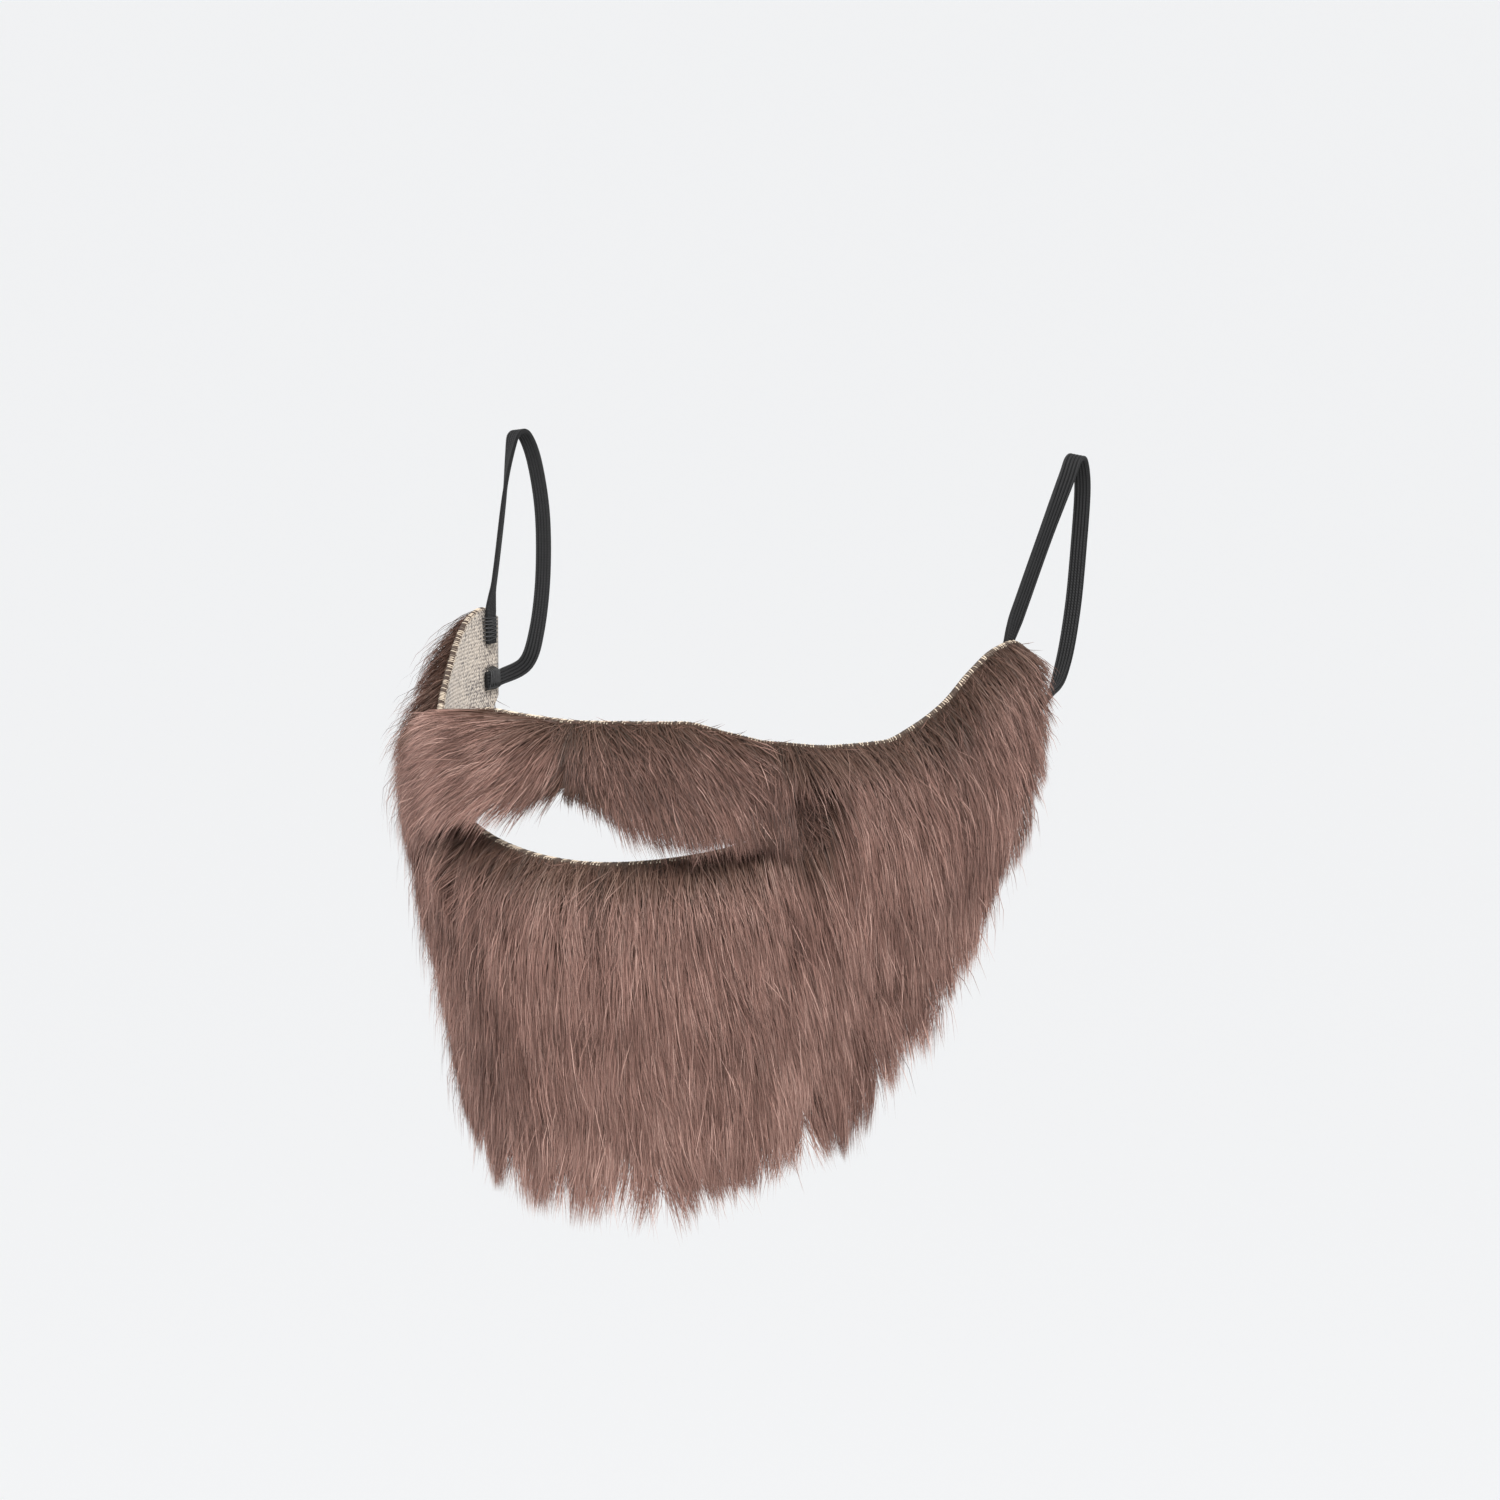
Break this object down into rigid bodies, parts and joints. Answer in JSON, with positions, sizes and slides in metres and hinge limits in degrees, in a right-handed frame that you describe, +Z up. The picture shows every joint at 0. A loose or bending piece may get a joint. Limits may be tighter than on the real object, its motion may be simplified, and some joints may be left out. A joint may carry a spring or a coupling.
{
  "type": "costume beard",
  "caption": "Costume full beard of brown faux fur on a knit backing, with a moustache, an open mouth and a flat elastic loop for each ear.",
  "frame": {"origin": "on the inner face of the knit backing, on the midline, in the middle of the strip between the nose and the mouth, where the beard sits on the upper lip", "axes": "+Z up, the face looks along -Y, +Y goes back into the face, +X is the wearer's left"},
  "size_m": [0.1699, 0.1321, 0.1843],
  "materials": {
    "knit_backing": "matt knit cloth",
    "fur": "long soft brown pile",
    "elastic": "ribbed black elastic braid"
  },
  "bodies": {
    "root": {"knit_backing": "knit_backing", "beard_fur": "fur", "moustache_fur_left": "fur", "moustache_fur_right": "fur", "ear_elastic_left": "elastic", "ear_elastic_right": "elastic"}
  },
  "joints": []
}
